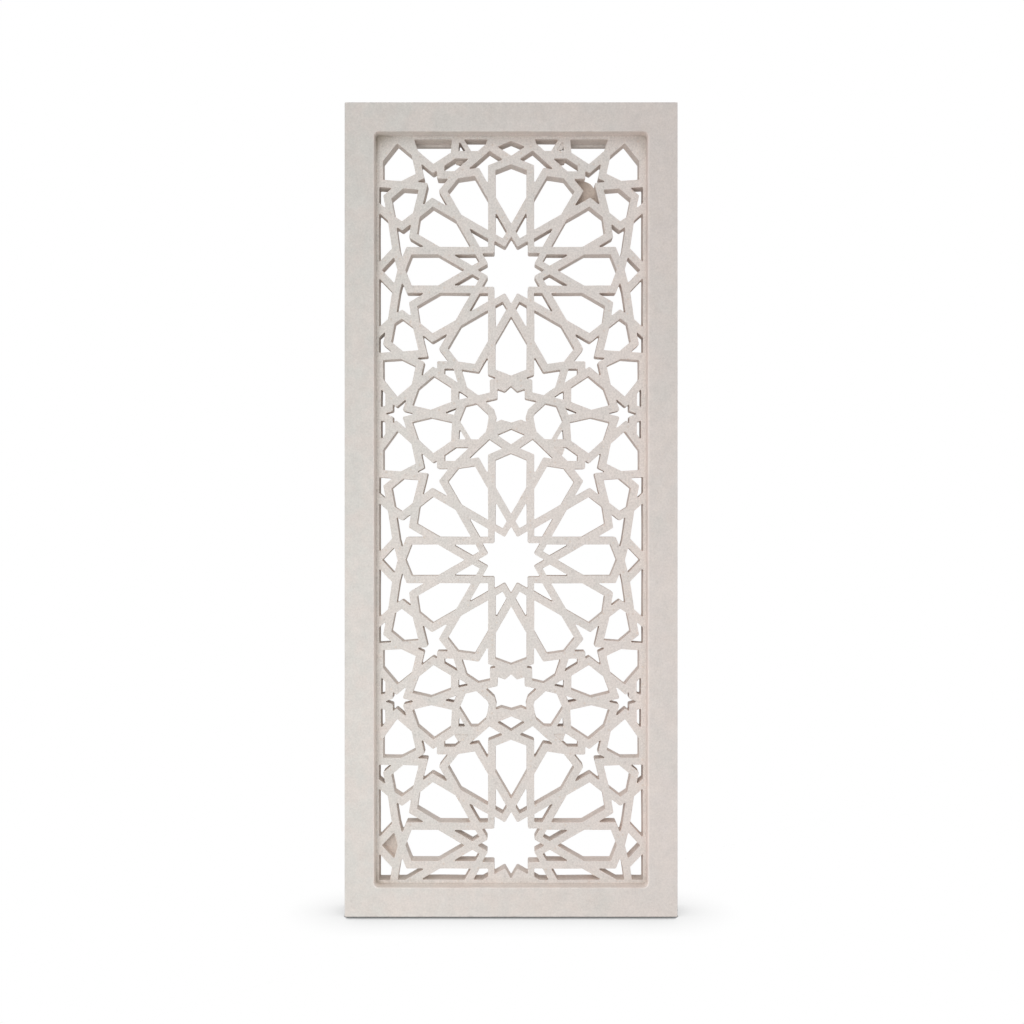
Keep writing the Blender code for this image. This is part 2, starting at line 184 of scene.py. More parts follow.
# The studio
WHITE = (1, 1, 1, 1)
BLACK = (0, 0, 0, 1)
FILL_LIGHT = 0.515  # from all round, where the background looks as bright as 1
LIGHTS = {  # place, target, width and height, power
    "front_light": ((-0.5, -3.0, 1.2), (0, 0, 0.65), (1.6, 1.6), 17.4),
    "low_light": ((-0.6, -2.0, 0.25), (0, 0, 0.30), (1.6, 0.5), 9),
    "high_light": ((-0.3, -2.2, 3.0), (0, 0, 0.30), (1.6, 1.2), 13),
}
FLOOR_HALF_WIDTH = 60.0
FLOOR_BOUNCE = (0.72, 0.72, 0.72, 1)
HALO = 0.12  # how far from the panel the floor is still shaded
HALO_POWER = 0.44
CONTACT = (0.017, 0.002)  # and how far it is dark, in front of the panel and beside its ends
CONTACT_POWER = 3.8
END_WIDTH = 0.006  # of the panel, over which the one distance turns into the other
AO_SAMPLES = 4
CAMERA_ASIDE = 0.00166
CAMERA_DISTANCE = 2.46
CAMERA_HEIGHT = 0.7455
CAMERA_ANGLE = 41.93

# Tolerances, and names for numbers
SNAP = 1e-5  # points nearer than this are one
STRAIGHT = 1e-3  # sine of the turn under which two sides are one
TRIANGULATION_TOLERANCE = 1e-9
FRONT, SIDEWAYS, BACK = 0.0, math.pi / 2, math.pi  # which way a profile's surface looks
MARKS = ("bend", "hollow", "lattice", "cheek", "brown")  # of every point, for the material


# ---- Outlines ------------------------------------------------------------------------------------

class Outlines:
    """Closed outlines in the plane of the panel, stored one after the other.

    Each runs with the open air on its left and the stone on its right, as seen from the front.
    points are (x, z), loop is the number of each point's outline, and outward is the direction
    from the stone into the air at each point.
    """

    def __init__(self, points, loop, outward=None):
        self.points = points
        self.loop = loop
        self.outward = outward
        index = np.arange(len(loop))
        starts = np.flatnonzero(np.r_[True, loop[1:] != loop[:-1]])
        ends = np.r_[starts[1:], len(loop)] - 1
        self.before = index - 1
        self.before[starts] = ends
        self.after = index + 1
        self.after[ends] = starts
        self.spans = np.column_stack([starts, ends + 1])

    def sides(self):
        """The direction and length of the side from each point to the next."""
        along = self.points[self.after] - self.points
        length = np.hypot(*along.T)
        return along / length[:, None], length


def left_of(direction):
    """Directions turned a quarter to the left: (x, z) becomes (-z, x)."""
    return np.column_stack([-direction[:, 1], direction[:, 0]])


def cad_triangles(node):
    """The corners of a node's triangles, as an array of triangles x corners x (x, y, z)."""
    mesh = node.data
    points = np.empty(3 * len(mesh.vertices), dtype=np.float32)
    mesh.vertices.foreach_get("co", points)
    corners = np.empty(len(mesh.loops), dtype=np.int32)
    mesh.loops.foreach_get("vertex_index", corners)
    return points.reshape(-1, 3)[corners].reshape(-1, 3, 3).astype(float)


def wall_edges(triangles):
    """The front edges of every wall that runs straight back from one level to a deeper one.

    A wall's triangle has one edge on a level and its third corner on another. Returns the levels,
    each edge's start and end as (x, z), and the numbers of its own level and of the deeper one.
    """
    depths = np.round(triangles[..., 1], 5)
    levels, level = np.unique(depths, return_inverse=True)
    level = level.reshape(depths.shape)
    start, end, far = (np.roll(level, -turn, axis=1) for turn in range(3))
    front_edges = (start == end) & (far > start)
    begin = triangles[..., ::2][front_edges]
    finish = np.roll(triangles, -1, axis=1)[..., ::2][front_edges]
    return levels, begin, finish, start[front_edges], far[front_edges]


def joined(begin, finish):
    """Edges joined end to end into outlines.

    Every edge points at the edge that follows it, and looks twice as far ahead in each round, so
    that it soon knows the lowest edge of its outline and how many edges lead there.
    """
    _, place = np.unique(np.round(np.vstack([begin, finish]) / SNAP), axis=0, return_inverse=True)
    place = place.ravel()
    starts_at, ends_at = place[:len(begin)], place[len(begin):]
    edge_from = np.empty(place.max() + 1, dtype=int)
    edge_from[starts_at] = np.arange(len(begin))
    follows = edge_from[ends_at]
    rounds = int(np.ceil(np.log2(len(begin)))) + 1
    lowest = np.arange(len(begin))
    ahead = follows
    for _ in range(rounds):
        lowest = np.minimum(lowest, lowest[ahead])
        ahead = ahead[ahead]
    is_lowest = lowest == np.arange(len(begin))
    ahead = np.where(is_lowest, np.arange(len(begin)), follows)
    to_go = np.where(is_lowest, 0, 1)
    for _ in range(rounds):
        to_go = to_go + to_go[ahead]
        ahead = ahead[ahead]
    order = np.lexsort([np.where(is_lowest, -len(begin), -to_go), lowest])
    return Outlines(begin[order], lowest[order])


def without_straight_points(outlines):
    """The outlines with only the points at which they turn."""
    direction, _ = outlines.sides()
    arriving = direction[outlines.before]
    turn = arriving[:, 0] * direction[:, 1] - arriving[:, 1] * direction[:, 0]
    kept = np.abs(turn) > STRAIGHT
    return Outlines(outlines.points[kept], outlines.loop[kept])


def rounded(outlines, knee_radius, nook_radius):
    """The outlines with each corner turned through an arc that touches both of its sides.

    The arc takes radius x tan(half the turn) from each side, and never more than SIDE_SHARE of
    the shorter one. A point of the arc is its start plus radius x (the left normal at the start
    less the left normal there), with the sign of the turn. The straights get even steps.
    """
    leaving, length = outlines.sides()
    arriving, length_before = leaving[outlines.before], length[outlines.before]
    sine = arriving[:, 0] * leaving[:, 1] - arriving[:, 1] * leaving[:, 0]
    turn = np.arctan2(sine, (arriving * leaving).sum(axis=1))
    wanted = np.where(turn > 0, nook_radius, knee_radius)
    half_tangent = np.tan(np.abs(turn) / 2)
    taken = np.minimum(wanted * half_tangent, SIDE_SHARE * np.minimum(length, length_before))
    radius = taken / half_tangent * np.sign(turn)

    arc_steps = np.maximum(1, np.ceil(np.abs(turn) / ARC_STEP)).astype(int)
    straight = length - taken - taken[outlines.after]
    straight_steps = np.maximum(1, np.round(straight / STRAIGHT_STEP)).astype(int)
    counts = arc_steps + straight_steps
    corner = np.repeat(np.arange(len(counts)), counts)
    step = np.arange(counts.sum()) - np.repeat(np.cumsum(counts) - counts, counts)
    share_of_arc = np.minimum(1, step / arc_steps[corner])
    share_of_straight = np.maximum(0, (step - arc_steps[corner]) / straight_steps[corner])

    angle = np.arctan2(arriving[:, 1], arriving[:, 0])[corner] + share_of_arc * turn[corner]
    normal = np.column_stack([-np.sin(angle), np.cos(angle)])
    arc_start = outlines.points - taken[:, None] * arriving
    on_arc = arc_start[corner] + radius[corner, None] * (left_of(arriving)[corner] - normal)
    run = (share_of_straight * straight[corner])[:, None] * leaving[corner]
    return Outlines(on_arc + run, outlines.loop[corner], normal)


def uneven(outlines):
    """The outlines moved by WAVES, each in its own direction for the shift in x and in z.

    A wave shifts a point by its height x a sine along its heading x a longer cosine across it.
    """
    x, z = outlines.points.T
    shift = np.zeros_like(outlines.points)
    for number, (length, height) in enumerate(WAVES):
        for axis in range(2):
            heading = WAVE_HEADING + TURN_PER_WAVE * number + TURN_PER_AXIS * axis
            along = x * math.cos(heading) + z * math.sin(heading)
            across = z * math.cos(heading) - x * math.sin(heading)
            wave = np.sin(2 * math.pi * along / length + number)
            crossing = np.cos(2 * math.pi * across / (CROSS_STRETCH * length) + 2 * axis)
            shift[:, axis] += height * wave * crossing
    return Outlines(outlines.points + shift, outlines.loop, outlines.outward)


# ---- The panel's surface -------------------------------------------------------------------------

def quarter(radius, offset, depth, begin, end, steps, side):
    """A quarter circle of a profile, about a centre at offset into the stone and at that depth.

    side is 1 for an arris, whose surface looks away from the centre, and -1 for a fillet, whose
    surface looks at it. Each row is offset, depth, the outward and the backward part of the
    normal, and the bend: side half way round the quarter, and 0 at its ends.
    """
    angle = np.linspace(begin, end, steps + 1)
    outward, backward = np.sin(angle), -np.cos(angle)
    reach = side * radius
    bend = 2 * side * np.abs(outward * backward)
    return np.column_stack([
        offset - reach * outward, depth + reach * backward, outward, backward, bend])


def front_arris(radius, level, steps=ARRIS_STEPS):
    """An arris from a front face at this level round to the wall behind it."""
    return quarter(radius, radius, level + radius, FRONT, SIDEWAYS, steps, 1)


def back_arris(radius, level, steps=ARRIS_STEPS):
    """An arris from a wall round to the back face at this level."""
    return quarter(radius, radius, level - radius, SIDEWAYS, BACK, steps, 1)


def recess_wall(near, far):
    """The wall of the front recess: an arris, a lean so that it leaves the mould, and a fillet."""
    steep = SIDEWAYS - RECESS_LEAN
    foot = -RECESS_FILLET - (far - near) * math.tan(RECESS_LEAN)
    return np.concatenate([
        quarter(RECESS_ARRIS, RECESS_ARRIS, near + RECESS_ARRIS, FRONT, steep, ARRIS_STEPS, 1),
        quarter(RECESS_FILLET, foot, far - RECESS_FILLET, steep, FRONT, ARRIS_STEPS, -1)])


def back_recess_wall(near, far):
    """The wall of the back recess, which is straight: a fillet and an arris."""
    return np.concatenate([
        quarter(
            RECESS_FILLET, -RECESS_FILLET, near + RECESS_FILLET, BACK, SIDEWAYS, ARRIS_STEPS, -1),
        back_arris(RECESS_ARRIS, far)])


def anticlockwise(loop, points):
    """The numbers of a loop's points, in the order that runs anticlockwise, as a list."""
    x, z = points[loop].T
    twice_area = (x * np.roll(z, -1) - z * np.roll(x, -1)).sum()
    return loop.tolist() if twice_area > 0 else loop[::-1].tolist()


class Surface:
    """A mesh that grows strip by strip, as arrays of points, normals, marks and faces."""

    def __init__(self):
        self.points = []
        self.normals = []
        self.marks = []
        self.quads = []
        self.triangles = []
        self.count = 0

    def swept(self, outlines, profile, hollow, lattice, brown=0):
        """Carries a profile along the outlines and returns the numbers of its two outer rings.

        A point is the outline's point less the profile's offset along the outward direction, at
        the profile's depth. Each point keeps the MARKS:
        bend is 1 half way round an arris, -1 half way round a fillet, and 0 on the flats;
        hollow is 1 on a sheltered wall and falls to 0 where the surface turns forward, and marks
        where the material paints light;
        lattice is 1 on the lattice and 0 on the frame, given once or for each row of the profile;
        cheek is 1 on the upright walls of a recess, and falls to 0 down to the lattice, and marks
        where the material paints more light;
        brown is 1 on the brownest skin of cement, less on a paler one and 0 elsewhere.
        """
        offset, depth, outward, backward, bend = profile.T[:, :, None]
        x, z = outlines.points.T
        out_x, out_z = outlines.outward.T
        level = np.broadcast_to(depth, (len(profile), len(x)))
        self.points.append(np.stack([x - offset * out_x, level, z - offset * out_z], axis=-1))
        flat = np.broadcast_to(backward, level.shape)
        self.normals.append(np.stack([outward * out_x, flat, outward * out_z], axis=-1))
        lattice = np.reshape(lattice, (-1, 1))
        wall = hollow * np.abs(outward)
        cheek = wall * (1 - lattice) * np.abs(out_x)
        marks = [np.broadcast_to(mark, level.shape) for mark in (bend, wall, lattice, cheek, brown)]
        self.marks.append(np.stack(marks, axis=-1))
        rings = self.count + np.arange(level.size).reshape(level.shape)
        following = rings[:, outlines.after]
        corners = (rings[:-1], following[:-1], following[1:], rings[1:])
        self.quads.append(np.stack(corners, axis=-1).reshape(-1, 4))
        self.count += level.size
        return rings[0], rings[-1]

    def filled(self, boundaries, towards_back):
        """Closes a flat face between outlines: the first boundary is its rim, the rest are holes.

        boundaries are (outlines, ring) pairs. Their points are triangulated together, and only
        triangles that lie in the rim and in no hole are kept.
        """
        rings = np.concatenate([ring for _, ring in boundaries])
        points = np.concatenate([block.reshape(-1, 3) for block in self.points])[rings][:, ::2]
        first, loops = 0, []
        for outlines, ring in boundaries:
            loops += [np.arange(first + begin, first + end) for begin, end in outlines.spans]
            first += len(ring)
        loops = [anticlockwise(loop, points) for loop in loops]
        _, _, faces, sources, _, owners = delaunay_2d_cdt(
            points.tolist(), [], loops, 1, TRIANGULATION_TOLERANCE, True)
        rim_only = np.array([owner == [0] for owner in owners])
        source = np.array([origin[0] for origin in sources])
        triangles = rings[source[np.array(faces)[rim_only]]]
        self.triangles.append(triangles[:, ::-1] if towards_back else triangles)

    def mesh(self, name):
        """The finished mesh, shaded by the profile's own normals."""
        points = np.concatenate([block.reshape(-1, 3) for block in self.points])
        normals = np.concatenate([block.reshape(-1, 3) for block in self.normals])
        quads, triangles = np.concatenate(self.quads), np.concatenate(self.triangles)
        mesh = bpy.data.meshes.new(name)
        mesh.from_pydata(points, [], quads.tolist() + triangles.tolist())
        mesh.polygons.foreach_set("use_smooth", np.ones(len(mesh.polygons), dtype=bool))
        mesh.normals_split_custom_set_from_vertices(normals)
        marks = np.concatenate([block.reshape(-1, len(MARKS)) for block in self.marks])
        for title, mark in zip(MARKS, marks.T):
            mesh.attributes.new(title, "FLOAT", "POINT").data.foreach_set("value", mark.copy())
        return mesh

    def plate(self, outlines, profile, hollow, lattice, brown=0):
        """A closed block: a profile round its edge, and flat faces in front and behind."""
        first, last = self.swept(outlines, profile, hollow, lattice, brown)
        self.filled([(outlines, first)], False)
        self.filled([(outlines, last)], True)


def new_piece(name, data):
    """An object at the origin that holds this data."""
    piece = bpy.data.objects.new(name, data)
    bpy.context.scene.collection.objects.link(piece)
    return piece


def nibs(begin, finish, head):
    """The outline of each block behind the head bar, from the straight edges of its underside."""
    level = (np.abs(begin[:, 1] - finish[:, 1]) < SNAP) & (begin[:, 1] < head - SNAP)
    under = begin[:, 1] > head - NIB_REACH
    x, z = np.concatenate([begin[level & under], finish[level & under]]).T
    for side in (-1, 1):
        own = side * x > 0
        left, right, low = x[own].min(), x[own].max(), z[own].min()
        top = head + NIB_KEY
        corners = np.array([(left, low), (left, top), (right, top), (right, low)])
        yield Outlines(corners, np.zeros(len(corners), dtype=int))


def inside_both(first, second):
    """The outline of what lies inside both of two anticlockwise loops of points.

    Both loops are triangulated together. Of the triangles that lie in both, an edge without a
    twin that runs the other way is on the outline.
    """
    numbers = [list(range(len(first))), list(range(len(first), len(first) + len(second)))]
    points, _, faces, _, _, owners = delaunay_2d_cdt(
        np.vstack([first, second]).tolist(), [], numbers, 1, TRIANGULATION_TOLERANCE, True)
    shared = np.array([face for face, owner in zip(faces, owners) if len(owner) == 2])
    edges = np.concatenate([shared[:, [0, 1]], shared[:, [1, 2]], shared[:, [2, 0]]])
    ahead = edges[:, 0] * len(points) + edges[:, 1]
    behind = edges[:, 1] * len(points) + edges[:, 0]
    edges = edges[~np.isin(ahead, behind)]
    corners = np.array(points)
    return without_straight_points(joined(corners[edges[:, 1]], corners[edges[:, 0]]))


def skin(corners, place, centre, radius):
    """The outline of a skin: a ragged disc's share of the opening that is nearest to the place."""
    middles = np.array([corners.points[begin:end].mean(axis=0) for begin, end in corners.spans])
    nearest = np.hypot(*(middles - place).T).argmin()
    numbers = anticlockwise(np.arange(*corners.spans[nearest]), corners.points)
    spread = middles[nearest] + SKIN_SPREAD * (corners.points[numbers] - middles[nearest])
    angle = np.arange(DISC_STEPS) * 2 * math.pi / DISC_STEPS
    wide, narrow = RAGGED_LOBES
    reach = radius + RAGGED * np.sin(wide * angle + 1) * np.cos(narrow * angle)
    disc = np.array(centre) + reach[:, None] * np.column_stack([np.cos(angle), np.sin(angle)])
    shared = inside_both(spread, disc)
    long_enough = shared.sides()[1] > SKIN_SIDE
    shared = Outlines(shared.points[long_enough], shared.loop[long_enough])
    return rounded(shared, SKIN_CORNER_RADIUS, SKIN_CORNER_RADIUS)


def cast_panel(node):
    """The panel: outlines from the CAD node, carried through from level to level.

    There are four levels, numbered from the front: the frame's face, the lattice's face, the
    lattice's back and the frame's back. A wall is known by its near level and its far one.
    """
    levels, begin, finish, near, far = wall_edges(cad_triangles(node))
    front, lattice_front, lattice_back, back = levels

    def corners_of(chosen):
        """The outlines that run along the front edges of the chosen walls."""
        return without_straight_points(joined(begin[chosen], finish[chosen]))

    opening_corners = corners_of(near == 1)
    openings = uneven(rounded(opening_corners, KNEE_RADIUS, NOOK_RADIUS))
    outer = rounded(corners_of((near == 0) & (far > 1)), FRAME_CORNER_RADIUS, FRAME_CORNER_RADIUS)
    recess = rounded(
        corners_of((near == 0) & (far == 1)), RECESS_CORNER_RADIUS, RECESS_CORNER_RADIUS)

    surface = Surface()
    outer_edge = np.concatenate([front_arris(FRAME_ARRIS, front), back_arris(FRAME_ARRIS, back)])
    opening_edge = np.concatenate([
        front_arris(STRAP_ARRIS, lattice_front), back_arris(BACK_ARRIS, lattice_back, BACK_STEPS)])
    outer_front, outer_back = surface.swept(outer, outer_edge, 0, 0)
    recess_rim, recess_floor = surface.swept(
        recess, recess_wall(front, lattice_front), 1, np.repeat((0, 1), ARRIS_STEPS + 1))
    back_floor, back_rim = surface.swept(
        recess, back_recess_wall(lattice_back, back), 1, np.repeat((1, 0), ARRIS_STEPS + 1))
    opening_front, opening_back = surface.swept(openings, opening_edge, 1, 1)
    surface.filled([(outer, outer_front), (recess, recess_rim)], False)
    surface.filled([(recess, recess_floor), (openings, opening_front)], False)
    surface.filled([(recess, back_floor), (openings, opening_back)], True)
    surface.filled([(outer, outer_back), (recess, back_rim)], True)

    behind = (near == 2) & (far == 3)
    head = recess.points[:, 1].max()
    nib_edge = np.concatenate([
        front_arris(NIB_ARRIS, lattice_back - NIB_START), back_arris(NIB_ARRIS, back - NIB_SHORT)])
    for nib in nibs(begin[behind], finish[behind], head):
        surface.plate(rounded(nib, NIB_CORNER_RADIUS, NIB_CORNER_RADIUS), nib_edge, 1, 0)
    for place, centre, radius, depth, brown in SKINS:
        face = lattice_front + depth
        skin_edge = np.concatenate([
            front_arris(SKIN_ARRIS, face), back_arris(SKIN_ARRIS, face + SKIN_THICKNESS)])
        outline = skin(opening_corners, place, centre, radius)
        surface.plate(outline, skin_edge, 1, 1, brown)
    return new_piece("cast_panel", surface.mesh("cast_panel"))


# ---- Materials -----------------------------------------------------------------------------------

MIX_FACTOR, MIX_A, MIX_B, MIX_RESULT = 0, 6, 7, 2  # a colour Mix node's sockets


def put(tree, kind, inputs, **settings):
    """Adds a node with these settings, feeds its inputs, and returns its outputs."""
    node = tree.nodes.new(kind)
    for name, value in settings.items():
        setattr(node, name, value)
    for name, value in inputs.items():
        if isinstance(value, bpy.types.NodeSocket):
            tree.links.new(value, node.inputs[name])
        else:
            node.inputs[name].default_value = value
    return node.outputs


def calculate(tree, operation, *values):
    """A Math node's result."""
    return put(tree, "ShaderNodeMath", dict(enumerate(values)), operation=operation)["Value"]


def ranged(tree, value, low, high, to_low=0.0, to_high=1.0):
    """A value's range from low to high, stretched to the new range and held at its ends."""
    inputs = {
        "Value": value, "From Min": low, "From Max": high, "To Min": to_low, "To Max": to_high}
    return put(tree, "ShaderNodeMapRange", inputs)["Result"]


def mixed(tree, factor, first, second, blend="MIX"):
    """A colour that goes from the first to the second, or to the second blended over the first."""
    inputs = {MIX_FACTOR: factor, MIX_A: first, MIX_B: second}
    return put(tree, "ShaderNodeMix", inputs, data_type="RGBA", blend_type=blend)[MIX_RESULT]


def noise(tree, position, size, detail, roughness=0.5):
    """Noise whose patches are about size across; its values lie round 0.5."""
    inputs = {"Vector": position, "Scale": 1 / size, "Detail": detail, "Roughness": roughness}
    return put(tree, "ShaderNodeTexNoise", inputs)["Fac"]


def new_group(name, inputs, outputs):
    """An empty node group, with its input sockets and output sockets ready to be linked."""
    group = bpy.data.node_groups.new(name, "ShaderNodeTree")
    for title, kind in inputs.items():
        group.interface.new_socket(title, in_out="INPUT", socket_type=kind)
    for title in outputs:
        group.interface.new_socket(title, in_out="OUTPUT", socket_type="NodeSocketFloat")
    given, results = group.nodes.new("NodeGroupInput"), group.nodes.new("NodeGroupOutput")
    return group, given.outputs, results.inputs


def mottling_group():
    """Patches: Stain is grey and a hand wide, Blush is warm, and Clouds lie round 0."""
    group, given, results = new_group(
        "mottling", {"Position": "NodeSocketVector"}, ("Stain", "Blush", "Clouds"))
    stain = noise(group, given["Position"], STAIN_SIZE, PATCH_DETAIL, PATCH_ROUGHNESS)
    blush = noise(group, given["Position"], BLUSH_SIZE, PATCH_DETAIL, PATCH_ROUGHNESS)
    group.links.new(ranged(group, stain, *STAIN_RANGE), results["Stain"])
    group.links.new(ranged(group, blush, *BLUSH_RANGE), results["Blush"])
    clouds = noise(group, given["Position"], CLOUD_SIZE, PATCH_DETAIL)
    group.links.new(ranged(group, clouds, *GRAIN_RANGE, -1.0, 1.0), results["Clouds"])
    return group


def grain_group():
    """Sand: Grain lies round 0, Specks marks coloured grains and Pits marks small holes."""
    group, given, results = new_group(
        "sand_grain", {"Position": "NodeSocketVector"}, ("Grain", "Specks", "Pits"))
    fine = noise(group, given["Position"], GRAIN_SIZE, GRAIN_DETAIL, GRAIN_ROUGHNESS)
    group.links.new(ranged(group, fine, *GRAIN_RANGE, -1.0, 1.0), results["Grain"])
    for title, size, share, width in (("Specks", SPECK_SIZE, SPECK_SHARE, SPECK_WIDTH),
                                      ("Pits", PIT_SIZE, PIT_SHARE, PIT_WIDTH)):
        cells = put(group, "ShaderNodeTexVoronoi", {"Vector": given["Position"], "Scale": 1 / size})
        lot = put(group, "ShaderNodeSeparateColor", {"Color": cells["Color"]})["Red"]
        drawn = calculate(group, "LESS_THAN", lot, share)
        spot = ranged(group, cells["Distance"], width, width / 2)
        group.links.new(calculate(group, "MULTIPLY", drawn, spot), results[title])
    return group


def worn_edge_highlight_group():
    """Where an arris has lost its skin and carries a painted highlight, in patches along it."""
    group, given, results = new_group(
        "worn_edge_highlight", {"Position": "NodeSocketVector", "Bend": "NodeSocketFloat"}, ("WornAndLit",))
    patches = ranged(group, noise(group, given["Position"], WEAR_SIZE, WEAR_DETAIL), *WEAR_RANGE)
    arris = calculate(group, "MAXIMUM", given["Bend"], 0)
    group.links.new(calculate(group, "MULTIPLY", arris, patches), results["WornAndLit"])
    return group


def painted_shade_group():
    """Painted shade in the recess: along the foot of its wall, and more so in its four corners, in
    patches.
    """
    group, given, results = new_group(
        "recess_painted_shade", {"Position": "NodeSocketVector", "Lattice": "NodeSocketFloat"}, ("PaintedShade",))
    place = put(group, "ShaderNodeSeparateXYZ", {"Vector": given["Position"]})
    above_middle = calculate(group, "SUBTRACT", place["Z"], PANEL_SIZE[2] / 2)
    to_side = calculate(
        group, "SUBTRACT", RECESS_HALF_WIDTH, calculate(group, "ABSOLUTE", place["X"]))
    to_end = calculate(
        group, "SUBTRACT", RECESS_HALF_HEIGHT, calculate(group, "ABSOLUTE", above_middle))
    from_wall = calculate(group, "MINIMUM", to_side, to_end)
    from_corner = calculate(group, "ADD", to_side, to_end)
    foot = calculate(group, "MULTIPLY", ranged(group, from_wall, FOOT_REACH, 0),
                     ranged(group, given["Lattice"], FOOT_START, 1))
    corner = calculate(
        group, "MULTIPLY", ranged(group, from_corner, CORNER_REACH, 0), given["Lattice"])
    corner = calculate(group, "POWER", corner, CORNER_POWER)
    # the painted shade in the corners grows darker towards the head
    darker_upwards = ranged(group, place["Z"], 0, PANEL_SIZE[2], *CORNER_PAINTED_SHADE)
    darkening = calculate(group, "MULTIPLY_ADD", corner, darker_upwards, foot)
    patches = ranged(
        group, noise(group, given["Position"], PAINTED_SHADE_SIZE, PATCH_DETAIL), *PAINTED_SHADE_RANGE, *PAINTED_SHADE_PATCHES)
    darkening = calculate(group, "MULTIPLY", darkening, patches)
    # and it is darker on the left than on the right
    sided = ranged(group, place["X"], PANEL_LOW[0], PANEL_HIGH[0], *SIDE_PAINTED_SHADE)
    group.links.new(calculate(group, "MULTIPLY", darkening, sided), results["PaintedShade"])
    return group


def cast_stone():
    """Pale cast stone: mottled and sandy on the lattice, with painted warm light on its walls,
    painted shade in the recess, and arrises worn paler in patches that carry a painted highlight.

    The cheeks of the recess carry the most painted light and are the palest. Each mark is mixed
    over
    the colour before it, and the result is multiplied by a tone that falls from the foot to the
    head:
    painted light, brighter at the foot and darker at the head.
    """
    material = bpy.data.materials.new("cast_stone_finish")
    material.use_nodes = True
    tree = material.node_tree
    shader = tree.nodes["Principled BSDF"]
    position = put(tree, "ShaderNodeTexCoord", {})["Object"]
    place = put(tree, "ShaderNodeSeparateXYZ", {"Vector": position})
    bend, hollow, lattice, cheek, brown = (
        put(tree, "ShaderNodeAttribute", {}, attribute_name=mark)["Fac"] for mark in MARKS)

    def marked(group, **inputs):
        """A group's outputs at each place on the stone."""
        return put(tree, "ShaderNodeGroup", {"Position": position, **inputs}, node_tree=group)

    def strong(mark, strengths):
        """A mark times a strength that goes from the frame's to the lattice's."""
        return calculate(tree, "MULTIPLY", mark, ranged(tree, lattice, 0, 1, *strengths))

    patches = marked(mottling_group())
    sand = marked(grain_group())
    worn_and_lit = marked(worn_edge_highlight_group(), Bend=bend)["WornAndLit"]
    painted_shade = marked(painted_shade_group(), Lattice=lattice)["PaintedShade"]

    warmth = ranged(tree, place["X"], PANEL_LOW[0], PANEL_HIGH[0], 0, SIDE_WARMTH)
    colour = mixed(tree, warmth, PALE, WARM)
    stained = calculate(tree, "MULTIPLY", patches["Stain"], STAIN_STRENGTH)
    colour = mixed(tree, stained, colour, STAIN)
    blushing = calculate(tree, "MULTIPLY", patches["Blush"], BLUSH_STRENGTH)
    colour = mixed(tree, blushing, colour, BLUSH)
    colour = mixed(tree, strong(sand["Specks"], SPECK_STRENGTH), colour, SPECK)
    # painted light on the walls, lighter and warmer
    colour = mixed(tree, hollow, colour, HOLLOW_PAINTED_LIGHT, "MULTIPLY")
    # more painted light on the recess's upright walls
    colour = mixed(tree, cheek, colour, CHEEK_PAINTED_LIGHT, "MULTIPLY")
    colour = mixed(tree, brown, colour, BROWN_TINT, "MULTIPLY")
    # painted shade in the recess
    colour = mixed(tree, calculate(tree, "MULTIPLY", painted_shade, PAINTED_SHADE_STRENGTH), colour, PAINTED_SHADE)
    # arrises worn paler, with a painted highlight
    colour = mixed(tree, calculate(tree, "MULTIPLY", worn_and_lit, WORN_HIGHLIGHT_STRENGTH), colour, WORN_HIGHLIGHT)

    # painted light: a tone that makes the stone brighter at the foot and darker at the head
    head_painted_shade = ranged(tree, lattice, 0, 1, *HEAD_PAINTED_SHADE)
    tone = ranged(tree, place["Z"], 0, PANEL_SIZE[2], FOOT_PAINTED_LIGHT, head_painted_shade)
    tone = calculate(tree, "ADD", tone, strong(patches["Clouds"], CLOUD_STRENGTH))
    tone = calculate(tree, "ADD", tone, strong(sand["Grain"], GRAIN_STRENGTH))
    tone = calculate(tree, "SUBTRACT", tone, strong(sand["Pits"], PIT_STRENGTH))
    toned = put(tree, "ShaderNodeVectorMath", {0: colour, "Scale": tone}, operation="SCALE")
    tree.links.new(toned["Vector"], shader.inputs["Base Color"])

    roughness = ranged(tree, sand["Grain"], -1, 1, *ROUGHNESS)
    tree.links.new(roughness, shader.inputs["Roughness"])
    shader.inputs["Specular IOR Level"].default_value = SPECULAR
    grain_height = calculate(tree, "MULTIPLY", sand["Grain"], GRAIN_DEPTH)
    height = calculate(tree, "MULTIPLY_ADD", sand["Pits"], -PIT_DEPTH, grain_height)
    bump = put(tree, "ShaderNodeBump", {"Height": height, "Distance": 1.0, "Strength": 1.0})
    tree.links.new(bump["Normal"], shader.inputs["Normal"])
    return material


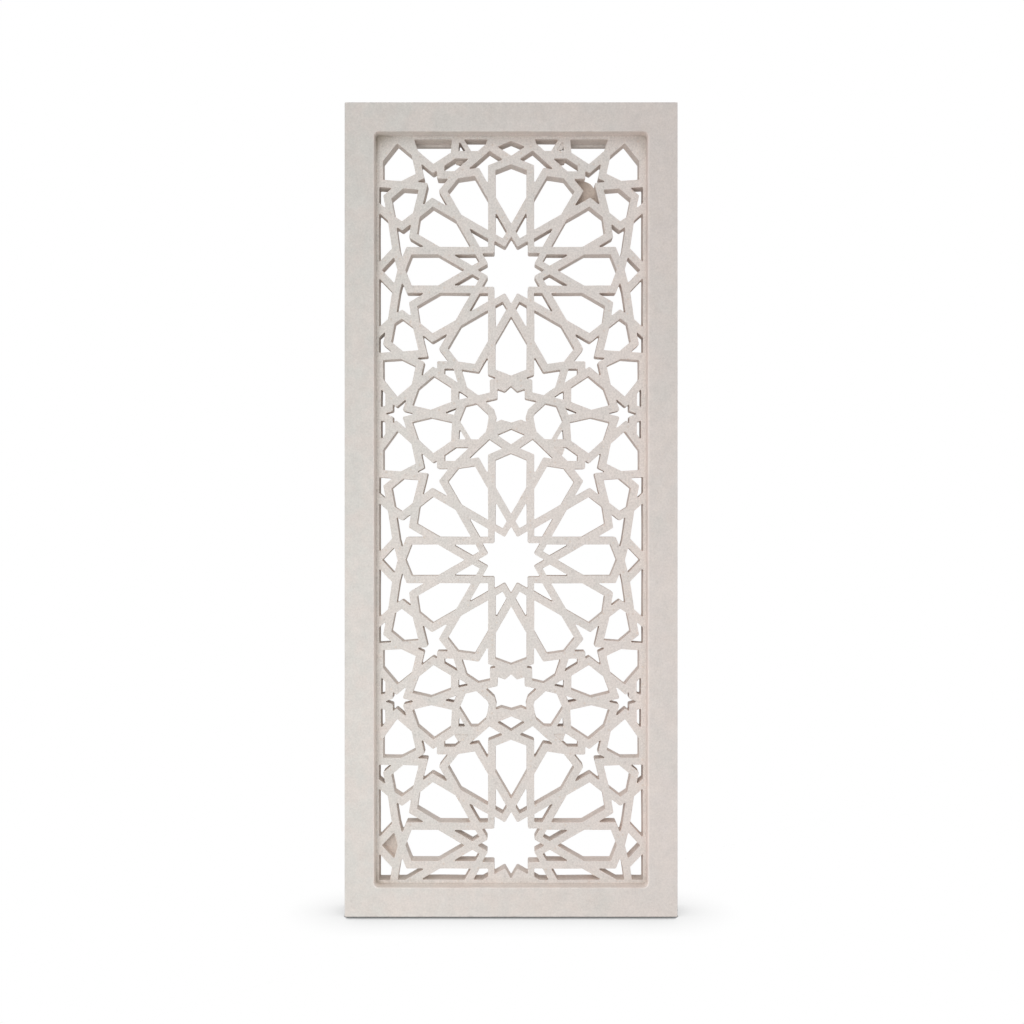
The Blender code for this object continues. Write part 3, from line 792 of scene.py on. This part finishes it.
def floor_paint():
    """A white floor: it looks as bright as the background, and darkens only close to the panel.

    Two shades multiply: a wide faint halo and a narrow dark one, which is narrower still beside
    the panel's ends. The light that the floor throws back on the panel is that of grey paint.
    """
    material = bpy.data.materials.new("floor_paint")
    material.use_nodes = True
    tree = material.node_tree
    shader = tree.nodes["Principled BSDF"]
    shader.inputs["Roughness"].default_value = 1.0
    shader.inputs["Specular IOR Level"].default_value = 0.0

    def sheltered(distance, power):
        """The share of open sky within a distance, raised to a power."""
        inputs = {"Distance": distance}
        open_sky = put(tree, "ShaderNodeAmbientOcclusion", inputs, samples=AO_SAMPLES)["AO"]
        return calculate(tree, "POWER", open_sky, power)

    position = put(tree, "ShaderNodeTexCoord", {})["Object"]
    across = put(tree, "ShaderNodeSeparateXYZ", {"Vector": position})["X"]
    contact = ranged(tree, calculate(tree, "ABSOLUTE", across),
                     PANEL_HIGH[0] - END_WIDTH, PANEL_HIGH[0], *CONTACT)
    shade = calculate(
        tree, "MULTIPLY", sheltered(HALO, HALO_POWER), sheltered(contact, CONTACT_POWER))
    seen = put(tree, "ShaderNodeLightPath", {})["Is Camera Ray"]
    tree.links.new(mixed(tree, seen, FLOOR_BOUNCE, BLACK), shader.inputs["Base Color"])
    shader.inputs["Emission Color"].default_value = WHITE
    tree.links.new(calculate(tree, "MULTIPLY", shade, seen), shader.inputs["Emission Strength"])
    return material


# ---- The panel and its studio --------------------------------------------------------------------

panel = cast_panel(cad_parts["screen_panel"])
panel.data.materials.append(cast_stone())
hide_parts("screen_panel")
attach(panel, "root")


def studio_floor(half_width):
    """A plain square under the panel."""
    corners = half_width * np.array([[-1, -1, 0], [1, -1, 0], [1, 1, 0], [-1, 1, 0]])
    mesh = bpy.data.meshes.new("floor")
    mesh.from_pydata(corners.tolist(), [], [(0, 1, 2, 3)])
    mesh.materials.append(floor_paint())
    return new_piece("floor", mesh)


studio_floor(FLOOR_HALF_WIDTH)


def area_light(name, place, target, size, power):
    """A soft rectangular lamp that faces its target and isn't seen itself."""
    light = bpy.data.lights.new(name, "AREA")
    light.shape = "RECTANGLE"
    light.size, light.size_y = size
    light.energy = power
    lamp = new_piece(name, light)
    lamp.visible_camera = False
    lamp.location = place
    lamp.rotation_euler = (Vector(target) - Vector(place)).to_track_quat("-Z", "Y").to_euler()


def studio_light():
    """Even light from all round, dimmer than the background looks, and soft lights in front."""
    world = bpy.data.worlds.new("studio")
    world.use_nodes = True
    tree = world.node_tree
    background = tree.nodes["Background"]
    background.inputs["Color"].default_value = WHITE
    seen = put(tree, "ShaderNodeLightPath", {})["Is Camera Ray"]
    tree.links.new(ranged(tree, seen, 0, 1, FILL_LIGHT, 1), background.inputs["Strength"])
    bpy.context.scene.world = world
    for name, (place, target, size, power) in LIGHTS.items():
        area_light(name, place, target, size, power)


studio_light()


def studio_camera():
    """A level camera, square on to the panel."""
    data = bpy.data.cameras.new("camera")
    data.angle = math.radians(CAMERA_ANGLE)
    camera = new_piece("camera", data)
    camera.location = (CAMERA_ASIDE, PANEL_LOW[1] - CAMERA_DISTANCE, CAMERA_HEIGHT)
    camera.rotation_euler = (math.radians(90), 0, 0)
    bpy.context.scene.camera = camera


studio_camera()
bpy.context.scene.view_settings.view_transform = "Standard"
